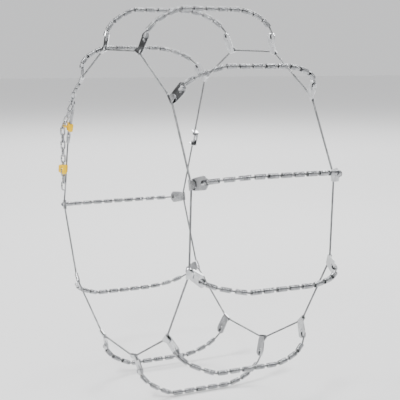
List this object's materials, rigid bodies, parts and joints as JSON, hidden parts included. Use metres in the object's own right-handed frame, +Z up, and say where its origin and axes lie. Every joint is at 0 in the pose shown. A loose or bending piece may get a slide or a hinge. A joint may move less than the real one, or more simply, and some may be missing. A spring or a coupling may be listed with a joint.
{
  "type": "tire snow chains",
  "caption": "Tyre snow chains of steel cable in fitted shape: two side cables joined by cross cables with hard coils, stamped brackets, wire tension hook, spare chain and two clips.",
  "frame": {"origin": "centre of the wheel the chains are fitted on, in the tyre's middle plane", "axes": "+Y along the axle towards the car, so the outer face with the fastener looks to -Y; +Z up; +X completes the right hand"},
  "size_m": [0.7105, 0.2959, 0.7047],
  "materials": {
    "cable": "satin galvanised wire rope",
    "bracket_zinc": "bright zinc plated sheet",
    "stop_steel": "swaged steel, dull",
    "coil_steel": "bright zinc plated spring wire",
    "ferrule_alloy": "crimped alloy",
    "hook_steel": "bright zinc plated wire",
    "link_steel": "bright zinc plated links",
    "clip_plastic": "moulded yellow plastic"
  },
  "bodies": {
    "chain_set": {"outer_side_cable": "cable", "inner_side_cable": "cable", "outer_brackets": "bracket_zinc", "inner_brackets": "bracket_zinc", "cross_cable_stops": "stop_steel", "cross_cable_1": "cable", "cross_cable_2": "cable", "cross_cable_3": "cable", "cross_cable_4": "cable", "cross_cable_5": "cable", "cross_cable_6": "cable", "cross_cable_7": "cable", "cross_cable_8": "cable", "cross_cable_9": "cable", "cross_cable_10": "cable", "cross_cable_11": "cable", "shoulder_coils_1": "coil_steel", "shoulder_coils_2": "coil_steel", "shoulder_coils_3": "coil_steel", "shoulder_coils_4": "coil_steel", "shoulder_coils_5": "coil_steel", "shoulder_coils_6": "coil_steel", "shoulder_coils_7": "coil_steel", "shoulder_coils_8": "coil_steel", "shoulder_coils_9": "coil_steel", "shoulder_coils_10": "coil_steel", "shoulder_coils_11": "coil_steel", "chain_ferrule": "ferrule_alloy", "hook_ferrule": "ferrule_alloy", "load_links": "link_steel", "inner_coupler": "bracket_zinc", "inner_beads": "stop_steel"},
    "tread_run_1": {"tread_coils_1": "coil_steel"},
    "tread_run_2": {"tread_coils_2": "coil_steel"},
    "tread_run_3": {"tread_coils_3": "coil_steel"},
    "tread_run_4": {"tread_coils_4": "coil_steel"},
    "tread_run_5": {"tread_coils_5": "coil_steel"},
    "tread_run_6": {"tread_coils_6": "coil_steel"},
    "tread_run_7": {"tread_coils_7": "coil_steel"},
    "tread_run_8": {"tread_coils_8": "coil_steel"},
    "tread_run_9": {"tread_coils_9": "coil_steel"},
    "tread_run_10": {"tread_coils_10": "coil_steel"},
    "tread_run_11": {"tread_coils_11": "coil_steel"},
    "hook": {"tension_hook": "hook_steel", "upper_clip": "clip_plastic"},
    "tail_1": {"tail_link_1": "link_steel"},
    "tail_2": {"tail_link_2": "link_steel"},
    "tail_3": {"tail_link_3": "link_steel"},
    "tail_4": {"tail_link_4": "link_steel"},
    "tail_5": {"tail_link_5": "link_steel"},
    "tail_6": {"tail_link_6": "link_steel", "lower_clip": "clip_plastic", "tail_link_7": "link_steel"},
    "tail_8": {"tail_link_8": "link_steel"},
    "tail_9": {"tail_link_9": "link_steel"}
  },
  "joints": [
    {"name": "tread_run_1_spin", "type": "hinge", "parent": "chain_set", "child": "tread_run_1", "pos_m": [-0.22416, -0.007, 0.27682], "axis": [0, 1, 0], "continuous": true},
    {"name": "tread_run_2_spin", "type": "hinge", "parent": "chain_set", "child": "tread_run_2", "pos_m": [-0.08617, -0.007, 0.34562], "axis": [0, 1, 0], "continuous": true},
    {"name": "tread_run_3_spin", "type": "hinge", "parent": "chain_set", "child": "tread_run_3", "pos_m": [0.10414, -0.007, 0.34064], "axis": [0, 1, 0], "continuous": true},
    {"name": "tread_run_4_spin", "type": "hinge", "parent": "chain_set", "child": "tread_run_4", "pos_m": [0.26051, -0.007, 0.24293], "axis": [0, 1, 0], "continuous": true},
    {"name": "tread_run_5_spin", "type": "hinge", "parent": "chain_set", "child": "tread_run_5", "pos_m": [0.34842, -0.007, 0.07406], "axis": [0, 1, 0], "continuous": true},
    {"name": "tread_run_6_spin", "type": "hinge", "parent": "chain_set", "child": "tread_run_6", "pos_m": [0.33877, -0.007, -0.11007], "axis": [0, 1, 0], "continuous": true},
    {"name": "tread_run_7_spin", "type": "hinge", "parent": "chain_set", "child": "tread_run_7", "pos_m": [0.23369, -0.007, -0.26883], "axis": [0, 1, 0], "continuous": true},
    {"name": "tread_run_8_spin", "type": "hinge", "parent": "chain_set", "child": "tread_run_8", "pos_m": [0.06797, -0.007, -0.34966], "axis": [0, 1, 0], "continuous": true},
    {"name": "tread_run_9_spin", "type": "hinge", "parent": "chain_set", "child": "tread_run_9", "pos_m": [-0.11007, -0.007, -0.33877], "axis": [0, 1, 0], "continuous": true},
    {"name": "tread_run_10_spin", "type": "hinge", "parent": "chain_set", "child": "tread_run_10", "pos_m": [-0.27287, -0.007, -0.22896], "axis": [0, 1, 0], "continuous": true},
    {"name": "tread_run_11_spin", "type": "hinge", "parent": "chain_set", "child": "tread_run_11", "pos_m": [-0.35273, -0.007, -0.04957], "axis": [0, 1, 0], "continuous": true},
    {"name": "hook_release", "type": "hinge", "parent": "chain_set", "child": "hook", "pos_m": [-0.24678, -0.1366, 0.10504], "axis": [-0.9494, 0, 0.314], "range_deg": [0, 8.5]},
    {"name": "tail_1_swing", "type": "hinge", "parent": "chain_set", "child": "tail_1", "pos_m": [-0.24977, -0.14813, 0.11661], "axis": [-1, 0, 0], "range_deg": [0, 20]},
    {"name": "tail_2_swing", "type": "hinge", "parent": "tail_1", "child": "tail_2", "pos_m": [-0.24977, -0.14813, 0.10721], "axis": [-1, 0, 0], "range_deg": [0, 20]},
    {"name": "tail_3_swing", "type": "hinge", "parent": "tail_2", "child": "tail_3", "pos_m": [-0.24977, -0.14813, 0.08931], "axis": [-1, 0, 0], "range_deg": [0, 20]},
    {"name": "tail_4_swing", "type": "hinge", "parent": "tail_3", "child": "tail_4", "pos_m": [-0.24977, -0.14813, 0.07991], "axis": [-1, 0, 0], "range_deg": [0, 20]},
    {"name": "tail_5_swing", "type": "hinge", "parent": "tail_4", "child": "tail_5", "pos_m": [-0.24977, -0.14813, 0.06201], "axis": [-1, 0, 0], "range_deg": [0, 20]},
    {"name": "tail_6_swing", "type": "hinge", "parent": "tail_5", "child": "tail_6", "pos_m": [-0.24977, -0.14813, 0.05261], "axis": [-1, 0, 0], "range_deg": [0, 20]},
    {"name": "tail_8_swing", "type": "hinge", "parent": "tail_6", "child": "tail_8", "pos_m": [-0.24977, -0.14813, 0.02531], "axis": [-1, 0, 0], "range_deg": [0, 20]},
    {"name": "tail_9_swing", "type": "hinge", "parent": "tail_8", "child": "tail_9", "pos_m": [-0.24977, -0.14813, 0.00741], "axis": [-1, 0, 0], "range_deg": [0, 20]}
  ]
}
